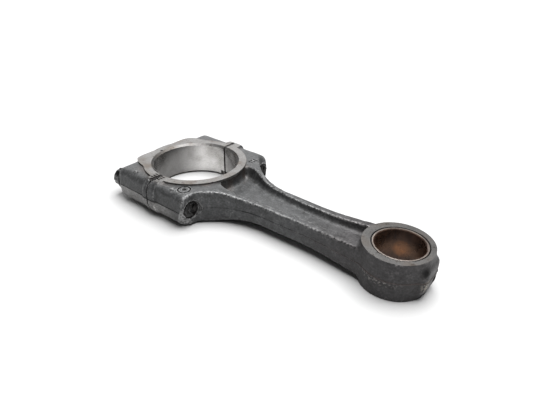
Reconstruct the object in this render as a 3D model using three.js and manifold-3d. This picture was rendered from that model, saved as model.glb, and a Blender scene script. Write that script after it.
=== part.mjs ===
// Fracture-split connecting rod: a forged rod with an I-beam shank, its bearing cap, two cap bolts that
// screw in from the cap side, and a pressed small-end bush. Millimetres, +Z up, along both bores.
// The rod lies flat on its thrust faces, +X from the big end towards the small end.

import * as THREE from "three";
import { mergeVertices } from "three/addons/utils/BufferGeometryUtils.js";
import Module from "manifold-3d";

const wasm = await Module();
wasm.setup();

// Overall sizes
const CENTRE_DISTANCE = 158;
const END_THICKNESS = 24.5;

// Big end
const BIG_BORE_RADIUS = 29.5;
const BORE_CHAMFER = 1.5;
const THRUST_RING_WIDTH = 6.8;
const CAP_BACK_WALL = 5.8;
const CAP_CORNER_RADIUS = 12;
const CAP_CORNER_HALF_WIDTH = 28;
const SPLIT_GAP = 0.1;
const EAR_LENGTH_ROD = 7.4;
const EAR_LENGTH_CAP = 5.2;
const EAR_PROUD = 1.4;
const EAR_CORNER_RADIUS = 4;
const EAR_EDGE_ROUND = 3;

// Bolt bosses
const BOSS_HEIGHT = 22.2;
const BOSS_EDGE_ROUND = 6.5;
const BOSS_CORNER_RADIUS = 7;
const BOSS_OUTER_WALL = 3;
const ROD_BOSS_LENGTH = 32.5;
const CAP_BOSS_LENGTH = 33.5;
const BALANCE_TRIM_LENGTH = 7.7;
const BALANCE_TRIM_WIDTH = 8;

// Bolts
const BOLT_THREAD_RADIUS = 5;
const BOLT_TO_BORE_WALL = 1.1;
const BOLT_CLEARANCE = 0.2;
const THREAD_CLEARANCE = 0.1;
const SEAT_GAP = 0.1;
const SPOT_FACE_DEPTH = 1;
const SPOT_FACE_MARGIN = 0.3;
const FLANGE_RADIUS = 7.7;
const FLANGE_THICKNESS = 2.2;
const HEAD_RADIUS = 6.3;
const HEAD_HEIGHT = 5.8;
const HEAD_POINTS = 12;
const HEAD_NOTCH = 0.75;
const HEAD_CHAMFER = 0.8;
const HEAD_LAND = 0.5;
const THREAD_PROUD = 1.5;
const THREAD_END_CHAMFER = 0.9;

// Shank
const WEB_THICKNESS = 6;
const FLANGE_WIDTH = 4.8;
const WAIST_HEIGHT = 14.6;
const WAIST_HALF_WIDTH = 13.2;
const ROOT_HALF_WIDTH = 19.2;
const ROOT_LENGTH = 9;
const NECK_HEIGHT = 18;
const NECK_HALF_WIDTH = 16;
const FLARE_LENGTH = 26;
const FLARE_TAPER = 1 / 3;
const SHOULDER_OVERLAP = 7;

// Small end
const BUSH_BORE_RADIUS = 14;
const BUSH_WALL = 1.6;
const BUSH_CHAMFER = 0.5;
const BUSH_CLEARANCE = 0.02;
const BUSH_RECESS = 0.2;
const EYE_WALL = 4.4;
const EYE_OFFSET = 1.1;
const EYE_DRAFT = 0.4;
const EYE_BORE_CHAMFER = 0.5;
const TIP_PAD_HALF_WIDTH = 11;
const TIP_PAD_PROUD = 1.6;
const TIP_PAD_HEIGHT = 17;
const TIP_PAD_ROUND = 3;
const TIP_PAD_CORNER = 6;

// Facets
const BORE_SEGMENTS = 80;
const BOLT_SEGMENTS = 36;
const ARC_SEGMENTS = 5;
const EDGE_SEGMENTS = 4;
const CURVE_SEGMENTS = 24;
const CUT_MARGIN = 1;

// Sizes that follow from the ones above
const HALF_THICKNESS = END_THICKNESS / 2;
const THRUST_RADIUS = BIG_BORE_RADIUS + THRUST_RING_WIDTH;
const CAP_BACK = BIG_BORE_RADIUS + CAP_BACK_WALL;
const BOLT_HOLE_RADIUS = BOLT_THREAD_RADIUS + BOLT_CLEARANCE;
const BOLT_Y = BIG_BORE_RADIUS + BOLT_TO_BORE_WALL + BOLT_HOLE_RADIUS;
const BOSS_Y = BOLT_Y + BOLT_HOLE_RADIUS + BOSS_OUTER_WALL;
const SPOT_FACE_RADIUS = FLANGE_RADIUS + SPOT_FACE_MARGIN;
const CAP_SEAT_X = -(CAP_BOSS_LENGTH - SPOT_FACE_DEPTH);
const ROD_SEAT_X = ROD_BOSS_LENGTH - SPOT_FACE_DEPTH;
const THREAD_END_X = ROD_SEAT_X + THREAD_PROUD;
const HEAD_END_X = CAP_SEAT_X - SEAT_GAP - FLANGE_THICKNESS - HEAD_HEIGHT;
const BUSH_RADIUS = BUSH_BORE_RADIUS + BUSH_WALL;
const EYE_BORE_RADIUS = BUSH_RADIUS + BUSH_CLEARANCE;
const EYE_FACE_RADIUS = EYE_BORE_RADIUS + EYE_WALL;
const EYE_X = CENTRE_DISTANCE - EYE_OFFSET;
const EYE_RADIUS = EYE_FACE_RADIUS + EYE_DRAFT;
const TIP_X = EYE_X + EYE_RADIUS + TIP_PAD_PROUD;
const ROOT_Y = BIG_BORE_RADIUS / 2;
const ROOT_X = THRUST_RADIUS + ROOT_LENGTH;
const NECK_X = EYE_X - EYE_BORE_RADIUS;
const WAIST_X = (ROOT_X + NECK_X) / 2;

// The materials of the real pieces.
const material = (color, metalness, roughness) =>
  new THREE.MeshStandardMaterial({ color, metalness, roughness });
const FORGED_STEEL = material(0x5b5b5d, 0.7, 0.55);
const CAP_STEEL = material(0x6a6a6c, 0.7, 0.5);
const BLACK_OXIDE = material(0x222325, 0.6, 0.45);
const BRONZE = material(0x9a6a45, 0.8, 0.35);

// A closed geometry as a solid that can be joined and cut.
function solid(geometry) {
  const bare = geometry.index ? geometry.toNonIndexed() : geometry;
  bare.deleteAttribute("normal");
  bare.deleteAttribute("uv");
  const merged = mergeVertices(bare, 1e-4);
  return new wasm.Manifold(
    new wasm.Mesh({
      numProp: 3,
      vertProperties: merged.attributes.position.array,
      triVerts: new Uint32Array(merged.index.array),
    }),
  );
}

// A finished solid as a named mesh.
function piece(name, made, finish) {
  const { vertProperties, triVerts } = made.getMesh();
  const geometry = new THREE.BufferGeometry();
  geometry.setAttribute("position", new THREE.BufferAttribute(vertProperties, 3));
  geometry.setIndex(new THREE.BufferAttribute(triVerts, 1));
  geometry.computeVertexNormals();
  const mesh = new THREE.Mesh(geometry, finish);
  mesh.name = name;
  return mesh;
}

// A polygon whose corners [x, y, radius] are rounded.
function roundedShape(corners) {
  const shape = new THREE.Shape();
  corners.forEach(([x, y, radius], i) => {
    const corner = new THREE.Vector2(x, y);
    const [beforeX, beforeY] = corners.at(i - 1);
    const [afterX, afterY] = corners[(i + 1) % corners.length];
    const back = new THREE.Vector2(beforeX, beforeY).sub(corner).normalize();
    const ahead = new THREE.Vector2(afterX, afterY).sub(corner).normalize();
    const half = Math.acos(back.dot(ahead)) / 2;
    const start = corner.clone().addScaledVector(back, radius / Math.tan(half));
    const end = corner.clone().addScaledVector(ahead, radius / Math.tan(half));
    if (i === 0) shape.moveTo(start.x, start.y);
    else shape.lineTo(start.x, start.y);
    if (radius === 0) return;
    const middle = back.clone().add(ahead).normalize();
    const centre = corner.clone().addScaledVector(middle, radius / Math.sin(half));
    const from = Math.atan2(start.y - centre.y, start.x - centre.x);
    const to = Math.atan2(end.y - centre.y, end.x - centre.x);
    shape.absarc(centre.x, centre.y, radius, from, to, back.cross(ahead) > 0);
  });
  shape.closePath();
  return shape;
}

// A flat-sided plate of a shape, between two heights.
function plate(shape, bottom, top) {
  const geometry = new THREE.ExtrudeGeometry(shape, {
    depth: top - bottom,
    bevelEnabled: false,
    curveSegments: ARC_SEGMENTS,
  });
  geometry.translate(0, 0, bottom);
  return solid(geometry);
}

// A forged plate about the parting plane, with its top and bottom edges rounded inside the outline.
function forging(shape, height, round) {
  const geometry = new THREE.ExtrudeGeometry(shape, {
    depth: height - 2 * round,
    bevelThickness: round,
    bevelSize: round,
    bevelOffset: -round,
    bevelSegments: EDGE_SEGMENTS,
    curveSegments: ARC_SEGMENTS,
  });
  geometry.translate(0, 0, round - height / 2);
  return solid(geometry);
}

// A turned solid about Z from a closed profile of [radius, height] points.
function turned(profile, segments) {
  const points = [...profile, profile[0]].map(([r, z]) => new THREE.Vector2(r, z));
  const geometry = new THREE.LatheGeometry(points, segments);
  geometry.rotateX(Math.PI / 2);
  return solid(geometry);
}

// The same about X, towards +X.
function turnedAlongX(profile, segments) {
  const points = profile.map(([r, x]) => new THREE.Vector2(r, x));
  const geometry = new THREE.LatheGeometry(points, segments);
  geometry.rotateZ(-Math.PI / 2);
  return solid(geometry);
}

// A round bar about X between two places.
function bar(radius, fromX, toX) {
  return turnedAlongX([[0, fromX], [radius, fromX], [radius, toX], [0, toX]], BOLT_SEGMENTS);
}

// A box between two corners.
function block([x0, y0, z0], [x1, y1, z1]) {
  const geometry = new THREE.BoxGeometry(x1 - x0, y1 - y0, z1 - z0);
  geometry.translate((x0 + x1) / 2, (y0 + y1) / 2, (z0 + z1) / 2);
  return solid(geometry);
}

// Everything on one side of the split plane.
function halfSpace(side) {
  const reach = CENTRE_DISTANCE + THRUST_RADIUS + CAP_BACK;
  const near = side * SPLIT_GAP / 2;
  return block(
    [Math.min(near, side * reach), -reach, -END_THICKNESS],
    [Math.max(near, side * reach), reach, END_THICKNESS],
  );
}

// The big-end bore as a cutter, with a chamfer at both mouths.
function bigBore() {
  const mouth = BIG_BORE_RADIUS + BORE_CHAMFER + CUT_MARGIN;
  const past = HALF_THICKNESS + CUT_MARGIN;
  return turned(
    [
      [0, -past],
      [mouth, -past],
      [BIG_BORE_RADIUS, BORE_CHAMFER - HALF_THICKNESS],
      [BIG_BORE_RADIUS, HALF_THICKNESS - BORE_CHAMFER],
      [mouth, past],
      [0, past],
    ],
    BORE_SEGMENTS,
  );
}

// The machined ring that runs beside the crank cheeks.
function thrustRing() {
  return turned(
    [
      [0, -HALF_THICKNESS],
      [THRUST_RADIUS, -HALF_THICKNESS],
      [THRUST_RADIUS, HALF_THICKNESS],
      [0, HALF_THICKNESS],
    ],
    BORE_SEGMENTS,
  );
}

// One full-thickness ear beside the split, on the side of y given; length is negative on the cap.
function ear(length, side) {
  const outer = side * (BOSS_Y + EAR_PROUD);
  const inner = side * ROOT_Y;
  const acrossX = -Math.sign(length) * 2 * EAR_EDGE_ROUND;
  const corners = [
    [acrossX, inner, 0],
    [acrossX, outer, 0],
    [length, outer, EAR_CORNER_RADIUS],
    [length, inner, 0],
  ];
  return forging(roundedShape(corners), END_THICKNESS, EAR_EDGE_ROUND);
}

// One bolt boss from the split plane outwards; endX is negative on the cap.
function boss(endX, side, innerY) {
  const acrossX = -Math.sign(endX) * 2 * BOSS_EDGE_ROUND;
  const corners = [
    [acrossX, side * innerY, 0],
    [acrossX, side * BOSS_Y, 0],
    [endX, side * BOSS_Y, BOSS_CORNER_RADIUS],
    [endX, side * innerY, 0],
  ];
  return forging(roundedShape(corners), BOSS_HEIGHT, BOSS_EDGE_ROUND);
}

// The two bolt holes and the spot faces round their outer ends, as cutters.
function boltHoles(radius, fromX, toX, seatX) {
  const outward = seatX + Math.sign(seatX) * (BOSS_CORNER_RADIUS + FLANGE_THICKNESS + HEAD_HEIGHT);
  const spotFrom = Math.min(seatX, outward);
  const spotTo = Math.max(seatX, outward);
  const cutters = bar(radius, fromX, toX).add(bar(SPOT_FACE_RADIUS, spotFrom, spotTo));
  return cutters.translate([0, BOLT_Y, 0]).add(cutters.translate([0, -BOLT_Y, 0]));
}

// One edge of the shank on the side of y given, as a smooth curve from its start to the eye.
function shankEdge(start, side, inset) {
  const flareWidth = THREE.MathUtils.lerp(WAIST_HALF_WIDTH, ROOT_HALF_WIDTH, FLARE_TAPER);
  const points = [
    start,
    new THREE.Vector2(ROOT_X, ROOT_HALF_WIDTH),
    new THREE.Vector2(ROOT_X + FLARE_LENGTH / 2, flareWidth),
    new THREE.Vector2(WAIST_X, WAIST_HALF_WIDTH),
    new THREE.Vector2(NECK_X - FLARE_LENGTH, WAIST_HALF_WIDTH),
    new THREE.Vector2(NECK_X, NECK_HALF_WIDTH),
  ];
  const placed = points.map(({ x, y }) => new THREE.Vector2(x, side * (y - inset)));
  return new THREE.SplineCurve(placed).getPoints(CURVE_SEGMENTS);
}

// An outline seen from above between the shank's two edges, both moved in by the inset given.
function shankOutline(start, inset) {
  return new THREE.Shape([...shankEdge(start, -1, inset), ...shankEdge(start, 1, inset).reverse()]);
}

// The shank seen from the side: high at the shoulders, low at the waist, higher again at the eye.
function shankSides() {
  const startX = ROD_BOSS_LENGTH - 2 * SHOULDER_OVERLAP;
  const heights = [
    new THREE.Vector2(startX, BOSS_HEIGHT / 2),
    new THREE.Vector2(ROOT_X, BOSS_HEIGHT / 2),
    new THREE.Vector2(ROOT_X + FLARE_LENGTH / 2, WAIST_HEIGHT / 2),
    new THREE.Vector2(WAIST_X, WAIST_HEIGHT / 2),
    new THREE.Vector2(NECK_X - FLARE_LENGTH / 2, WAIST_HEIGHT / 2),
    new THREE.Vector2(NECK_X, NECK_HEIGHT / 2),
  ];
  const top = new THREE.SplineCurve(heights).getPoints(CURVE_SEGMENTS);
  const bottom = top.map(({ x, y }) => new THREE.Vector2(x, -y)).reverse();
  const geometry = new THREE.ExtrudeGeometry(new THREE.Shape([...bottom, ...top]), {
    depth: 2 * BOSS_Y,
    bevelEnabled: false,
  });
  geometry.translate(0, 0, -BOSS_Y);
  geometry.rotateX(Math.PI / 2);
  return solid(geometry);
}

// The I-beam shank, with the pocket between its flanges sunk from both faces down to the web.
function shank() {
  const shoulder = new THREE.Vector2(ROD_BOSS_LENGTH - SHOULDER_OVERLAP, BOLT_Y - FLANGE_WIDTH / 2);
  const outline = shankOutline(shoulder, 0);
  const pocketStart = new THREE.Vector2(BIG_BORE_RADIUS, ROOT_HALF_WIDTH);
  const pocketOutline = shankOutline(pocketStart, FLANGE_WIDTH);
  const blank = plate(outline, -HALF_THICKNESS, HALF_THICKNESS).intersect(shankSides());
  const pocket = plate(pocketOutline, WEB_THICKNESS / 2, END_THICKNESS);
  const opposite = plate(pocketOutline, -END_THICKNESS, -WEB_THICKNESS / 2);
  return blank.subtract(pocket).subtract(opposite);
}

// The small-end eye, widest at the parting plane, with the trimmed pad at its tip.
function eye() {
  const barrel = turned(
    [
      [0, -HALF_THICKNESS],
      [EYE_FACE_RADIUS, -HALF_THICKNESS],
      [EYE_RADIUS, 0],
      [EYE_FACE_RADIUS, HALF_THICKNESS],
      [0, HALF_THICKNESS],
    ],
    BORE_SEGMENTS,
  );
  const corners = [
    [EYE_X, -TIP_PAD_HALF_WIDTH, 0],
    [TIP_X, -TIP_PAD_HALF_WIDTH, TIP_PAD_CORNER],
    [TIP_X, TIP_PAD_HALF_WIDTH, TIP_PAD_CORNER],
    [EYE_X, TIP_PAD_HALF_WIDTH, 0],
  ];
  const pad = forging(roundedShape(corners), TIP_PAD_HEIGHT, TIP_PAD_ROUND);
  return barrel.translate([EYE_X, 0, 0]).add(pad);
}

// The eye's bore for the bush, as a cutter with chamfered mouths.
function eyeBore() {
  const past = HALF_THICKNESS + CUT_MARGIN;
  const mouth = EYE_BORE_RADIUS + EYE_BORE_CHAMFER + CUT_MARGIN;
  const bore = turned(
    [
      [0, -past],
      [mouth, -past],
      [EYE_BORE_RADIUS, EYE_BORE_CHAMFER - HALF_THICKNESS],
      [EYE_BORE_RADIUS, HALF_THICKNESS - EYE_BORE_CHAMFER],
      [mouth, past],
      [0, past],
    ],
    BORE_SEGMENTS,
  );
  return bore.translate([CENTRE_DISTANCE, 0, 0]);
}

// The near boss's outer corner, ground off across to balance the rod, as a cutter.
function balanceTrim() {
  const corners = [
    [ROD_BOSS_LENGTH - BALANCE_TRIM_LENGTH, -BOSS_Y, 0],
    [ROD_BOSS_LENGTH, -BOSS_Y + BALANCE_TRIM_WIDTH, 0],
    [ROD_BOSS_LENGTH + CUT_MARGIN, -BOSS_Y - CUT_MARGIN, 0],
  ];
  return plate(roundedShape(corners), -HALF_THICKNESS, HALF_THICKNESS);
}

// The forged rod with its machined faces, up to the split plane.
function rodBody() {
  const blank = shank()
    .add(boss(ROD_BOSS_LENGTH, 1, ROOT_Y))
    .add(boss(ROD_BOSS_LENGTH, -1, ROOT_Y))
    .subtract(balanceTrim())
    .add(ear(EAR_LENGTH_ROD, 1))
    .add(ear(EAR_LENGTH_ROD, -1))
    .add(thrustRing())
    .add(eye());
  const holeRadius = BOLT_THREAD_RADIUS + THREAD_CLEARANCE;
  const holes = boltHoles(holeRadius, -CUT_MARGIN, ROD_SEAT_X + CUT_MARGIN, ROD_SEAT_X);
  return blank.subtract(bigBore()).subtract(holes).subtract(eyeBore()).intersect(halfSpace(1));
}

// The cap's machined outline behind the bore: a flat back with two rounded corners.
function capBack() {
  const corners = [
    [0, -THRUST_RADIUS, 0],
    [0, THRUST_RADIUS, 0],
    [-CAP_BACK, CAP_CORNER_HALF_WIDTH, CAP_CORNER_RADIUS],
    [-CAP_BACK, -CAP_CORNER_HALF_WIDTH, CAP_CORNER_RADIUS],
  ];
  return plate(roundedShape(corners), -HALF_THICKNESS, HALF_THICKNESS);
}

// The bearing cap, broken off the same forging at the split plane.
function bearingCap() {
  const blank = capBack()
    .add(boss(-CAP_BOSS_LENGTH, 1, BIG_BORE_RADIUS))
    .add(boss(-CAP_BOSS_LENGTH, -1, BIG_BORE_RADIUS))
    .add(ear(-EAR_LENGTH_CAP, 1))
    .add(ear(-EAR_LENGTH_CAP, -1));
  const holes = boltHoles(BOLT_HOLE_RADIUS, CAP_SEAT_X - CUT_MARGIN, CUT_MARGIN, CAP_SEAT_X);
  return blank.subtract(bigBore()).subtract(holes).intersect(halfSpace(-1));
}

// A twelve-point bolt head along X, chamfered at its outer end and sunk a little into its flange.
function boltHead(fromX, toX) {
  const outline = new THREE.Shape();
  for (let i = 0; i < 2 * HEAD_POINTS; i++) {
    const radius = i % 2 === 0 ? HEAD_RADIUS : HEAD_RADIUS - HEAD_NOTCH;
    const angle = (i * Math.PI) / HEAD_POINTS;
    const point = [radius * Math.cos(angle), radius * Math.sin(angle)];
    if (i === 0) outline.moveTo(...point);
    else outline.lineTo(...point);
  }
  outline.closePath();
  const geometry = new THREE.ExtrudeGeometry(outline, { depth: toX - fromX, bevelEnabled: false });
  geometry.translate(0, 0, fromX);
  geometry.rotateY(Math.PI / 2);
  const envelope = turnedAlongX(
    [
      [0, fromX],
      [HEAD_RADIUS - HEAD_CHAMFER, fromX],
      [HEAD_RADIUS + CUT_MARGIN, fromX + HEAD_CHAMFER + CUT_MARGIN],
      [HEAD_RADIUS + CUT_MARGIN, toX + CUT_MARGIN],
      [0, toX + CUT_MARGIN],
    ],
    BOLT_SEGMENTS,
  );
  return solid(geometry).intersect(envelope);
}

// A flanged cap bolt, its threaded end standing out of the rod's shoulder.
function capBolt(side) {
  const underHead = CAP_SEAT_X - SEAT_GAP;
  const flangeTop = underHead - FLANGE_THICKNESS;
  const shaft = turnedAlongX(
    [
      [0, flangeTop],
      [HEAD_RADIUS + HEAD_LAND, flangeTop],
      [FLANGE_RADIUS, underHead - FLANGE_THICKNESS / 2],
      [FLANGE_RADIUS, underHead],
      [BOLT_THREAD_RADIUS, underHead],
      [BOLT_THREAD_RADIUS, THREAD_END_X - THREAD_END_CHAMFER],
      [BOLT_THREAD_RADIUS - THREAD_END_CHAMFER, THREAD_END_X],
      [0, THREAD_END_X],
    ],
    BOLT_SEGMENTS,
  );
  const head = boltHead(HEAD_END_X, underHead - FLANGE_THICKNESS / 2);
  return shaft.add(head).translate([0, side * BOLT_Y, 0]);
}

// The pressed small-end bush: a ring with chamfered ends, a little shorter than the eye.
function smallEndBush() {
  const end = HALF_THICKNESS - BUSH_RECESS;
  const ring = turned(
    [
      [BUSH_BORE_RADIUS + BUSH_CHAMFER, -end],
      [BUSH_RADIUS, -end],
      [BUSH_RADIUS, end],
      [BUSH_BORE_RADIUS + BUSH_CHAMFER, end],
      [BUSH_BORE_RADIUS, end - BUSH_CHAMFER],
      [BUSH_BORE_RADIUS, BUSH_CHAMFER - end],
    ],
    BORE_SEGMENTS,
  );
  return ring.translate([CENTRE_DISTANCE, 0, 0]);
}

// The assembly, moved so that its origin is the middle of its footprint.
const connectingRod = new THREE.Group();
connectingRod.add(
  piece("rod_body", rodBody(), FORGED_STEEL),
  piece("bearing_cap", bearingCap(), CAP_STEEL),
  piece("cap_bolt_near", capBolt(-1), BLACK_OXIDE),
  piece("cap_bolt_far", capBolt(1), BLACK_OXIDE),
  piece("small_end_bush", smallEndBush(), BRONZE),
);
connectingRod.position.set(-(HEAD_END_X + TIP_X) / 2, 0, HALF_THICKNESS);

export default connectingRod;
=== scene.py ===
"""A fracture-split connecting rod on a table: forged rod, bearing cap, two cap bolts, small-end bush."""

import math

import bmesh
import bpy
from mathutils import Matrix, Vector


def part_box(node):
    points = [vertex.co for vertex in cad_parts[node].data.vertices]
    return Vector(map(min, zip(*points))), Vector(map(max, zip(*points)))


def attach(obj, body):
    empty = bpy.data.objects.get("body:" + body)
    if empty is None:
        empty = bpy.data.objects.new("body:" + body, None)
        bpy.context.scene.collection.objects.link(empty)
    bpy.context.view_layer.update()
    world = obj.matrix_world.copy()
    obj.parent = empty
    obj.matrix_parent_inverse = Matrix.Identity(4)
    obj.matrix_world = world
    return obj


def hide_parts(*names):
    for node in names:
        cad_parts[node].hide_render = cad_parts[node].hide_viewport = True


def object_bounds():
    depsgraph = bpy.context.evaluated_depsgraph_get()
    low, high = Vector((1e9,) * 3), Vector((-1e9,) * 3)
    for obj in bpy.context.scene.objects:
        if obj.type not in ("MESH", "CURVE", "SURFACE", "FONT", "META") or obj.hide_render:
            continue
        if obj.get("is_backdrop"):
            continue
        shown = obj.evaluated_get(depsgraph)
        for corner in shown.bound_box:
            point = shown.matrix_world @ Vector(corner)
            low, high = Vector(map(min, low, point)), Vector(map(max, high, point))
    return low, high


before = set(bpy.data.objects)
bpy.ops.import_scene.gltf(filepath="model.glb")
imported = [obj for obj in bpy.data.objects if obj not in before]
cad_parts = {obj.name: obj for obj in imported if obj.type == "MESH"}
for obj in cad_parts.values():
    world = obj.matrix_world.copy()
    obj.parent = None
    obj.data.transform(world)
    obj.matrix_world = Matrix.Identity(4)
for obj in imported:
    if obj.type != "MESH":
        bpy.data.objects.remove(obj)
cad_low, cad_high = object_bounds()

# ---------------------------------------------------------------------------------------------------------
# The table and the studio. A plain white top under a wide soft light from above and behind, with little
# light from the front, so that upright faces go dark and the faces that look up stay bright.
# ---------------------------------------------------------------------------------------------------------

bpy.context.scene.view_settings.view_transform = "Standard"

TABLE_SIZE = 12.0
TABLE_WHITE = (0.55, 0.55, 0.55, 1)
GLOW_START = 0.09
GLOW_FULL = 0.9
bpy.ops.mesh.primitive_plane_add(size=TABLE_SIZE, location=(0, 0, cad_low.z - 0.00002))
table = bpy.context.object
table.name = "table_top"
table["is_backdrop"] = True

# The top is lit evenly near the rod. Further out, where the lights don't reach, it glows white by itself.
table_white = bpy.data.materials.new("table_white")
table_white.use_nodes = True
link = table_white.node_tree.links.new
paint = table_white.node_tree.nodes["Principled BSDF"]
paint.inputs["Base Color"].default_value = TABLE_WHITE
paint.inputs["Roughness"].default_value = 0.7
paint.inputs["Emission Color"].default_value = (1, 1, 1, 1)
table_place = table_white.node_tree.nodes.new("ShaderNodeTexCoord")
from_rod = table_white.node_tree.nodes.new("ShaderNodeVectorMath")
from_rod.operation = "LENGTH"
glow = table_white.node_tree.nodes.new("ShaderNodeMapRange")
glow.inputs["From Min"].default_value = GLOW_START
glow.inputs["From Max"].default_value = GLOW_FULL
link(table_place.outputs["Object"], from_rod.inputs[0])
link(from_rod.outputs["Value"], glow.inputs["Value"])
link(glow.outputs["Result"], paint.inputs["Emission Strength"])
table.data.materials.append(table_white)


def add_softbox(name, place, aim, size, power):
    """A square soft light at a place, turned to an aim."""
    bpy.ops.object.light_add(type="AREA", location=place)
    light = bpy.context.object
    light.name = name
    light.data.size = size
    light.data.energy = power
    light.rotation_euler = (light.location - aim).to_track_quat("Z", "Y").to_euler()


middle = (cad_low + cad_high) / 2
add_softbox("overhead", (0.05, 0.15, 1.0), middle, 0.9, 24.0)
add_softbox("behind_left", (-1.25, 1.05, 0.75), middle, 1.1, 9.0)

studio = bpy.data.worlds.new("studio")
bpy.context.scene.world = studio
studio.use_nodes = True
sky = studio.node_tree.nodes["Background"]
sky.inputs["Color"].default_value = (1, 1, 1, 1)
sky.inputs["Strength"].default_value = 0.1
seen_sky = studio.node_tree.nodes.new("ShaderNodeBackground")
seen_sky.inputs["Color"].default_value = (1, 1, 1, 1)
ray_kind = studio.node_tree.nodes.new("ShaderNodeLightPath")
either_sky = studio.node_tree.nodes.new("ShaderNodeMixShader")
link = studio.node_tree.links.new
link(ray_kind.outputs["Is Camera Ray"], either_sky.inputs[0])
link(sky.outputs[0], either_sky.inputs[1])
link(seen_sky.outputs[0], either_sky.inputs[2])
link(either_sky.outputs[0], studio.node_tree.nodes["World Output"].inputs["Surface"])

CAMERA_PLACE = (0.1554, -0.1997, 0.1663)
CAMERA_TURN = (58.74, -1.34, 38.08)
CAMERA_LENS = 29.73
bpy.ops.object.camera_add(location=CAMERA_PLACE, rotation=[math.radians(a) for a in CAMERA_TURN])
camera = bpy.context.object
camera.data.lens = CAMERA_LENS
camera.data.sensor_width = 36
bpy.context.scene.camera = camera

# ---------------------------------------------------------------------------------------------------------
# The rod. One steel forging with an I-beam shank, shot-blasted and dark with scale, that is then machined
# on both ends' faces, bored, drilled for the bolts and broken off its cap across the big-end bore.
# It is shaped about the big-end bore's centre, and moved to its place in the frame when it is finished.
# ---------------------------------------------------------------------------------------------------------

rod_low, rod_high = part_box("rod_body")
cap_low, cap_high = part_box("bearing_cap")
bush_low, bush_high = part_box("small_end_bush")
bolt_low, bolt_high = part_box("cap_bolt_far")
SPLIT_X = (rod_low.x + cap_high.x) / 2
SPLIT_GAP = rod_low.x - cap_high.x
MID_Z = (rod_low.z + rod_high.z) / 2
HALF_THICK = (rod_high.z - rod_low.z) / 2
EYE_BORE_X = (bush_low.x + bush_high.x) / 2 - SPLIT_X
BOLT_Y = (bolt_low.y + bolt_high.y) / 2
FLASH_REACH = 0.0005
FLASH_PROUD = 0.0003
EAR_Y = rod_high.y - FLASH_PROUD
EAR_INNER_Y = 0.02
EAR_END_ROUND = 0.0014
ROD_EAR_X = 0.0074
CAP_EAR_X = -0.0052
PAST_SPLIT = 0.004
BORE_RADIUS = 0.0295
BORE_CHAMFER = 0.0015
RING_RADIUS = 0.0363
RING_FORGING_RADIUS = RING_RADIUS - 0.0004
BOSS_TOP = 0.0111
BOSS_Y = 0.0440
BOSS_INNER_Y = 0.014
BOSS_ROUND = 0.0052
DRAFT = 0.0009
ROD_BOSS_X = 0.0325
SEAT_DEPTH = 0.001
THREAD_SEAT_DEPTH = 0.0003
THREAD_HOLE_RADIUS = 0.0051
THREAD_SPOT_RADIUS = 0.0068
WEB_TOP = 0.003
EYE_OFFSET = 0.0011
EYE_FACE_RADIUS = 0.0200
EYE_HALF_HEIGHT = 0.0138
EYE_DRAFT = 1.018
FORGED_VOXEL = 0.0007


def pick(piece):
    """Selects one piece alone."""
    bpy.ops.object.select_all(action="DESELECT")
    piece.select_set(True)
    bpy.context.view_layer.objects.active = piece


def choose(piece, kind, test):
    """Opens a piece in edit mode with only the vertices, edges or faces that pass the test selected."""
    if bpy.context.mode != "OBJECT":
        bpy.ops.object.mode_set(mode="OBJECT")
    pick(piece)
    bpy.ops.object.mode_set(mode="EDIT")
    bpy.ops.mesh.select_mode(type=kind)
    bpy.ops.mesh.select_all(action="DESELECT")
    mesh = bmesh.from_edit_mesh(piece.data)
    for part in {"VERT": mesh.verts, "EDGE": mesh.edges, "FACE": mesh.faces}[kind]:
        part.select_set(test(part))
    mesh.select_flush_mode()
    bmesh.update_edit_mesh(piece.data)


def close(piece):
    """Leaves edit mode."""
    bpy.ops.object.mode_set(mode="OBJECT")
    return piece


def slice_level(piece, height):
    """Cuts new edges round a piece at a height, and leaves it in edit mode."""
    choose(piece, "FACE", lambda face: True)
    bpy.ops.mesh.bisect(plane_co=(0, 0, height), plane_no=(0, 0, 1))


def middle_of(edge):
    """The middle of an edge."""
    return (edge.verts[0].co + edge.verts[1].co) / 2


def add_block(name, low, high):
    """A block between two corners."""
    bpy.ops.object.select_all(action="DESELECT")
    centre = [(a + b) / 2 for a, b in zip(low, high)]
    bpy.ops.mesh.primitive_cube_add(size=1, location=centre, scale=[b - a for a, b in zip(low, high)])
    bpy.ops.object.transform_apply(location=True, rotation=True, scale=True)
    bpy.context.object.name = name
    return bpy.context.object


def add_drum(name, radius, low, high, centre=(0, 0), sides=128):
    """A drum about Z between two heights."""
    bpy.ops.object.select_all(action="DESELECT")
    place = (centre[0], centre[1], (low + high) / 2)
    bpy.ops.mesh.primitive_cylinder_add(vertices=sides, radius=radius, depth=high - low, location=place)
    bpy.ops.object.transform_apply(location=True, rotation=True, scale=True)
    bpy.context.object.name = name
    return bpy.context.object


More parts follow.
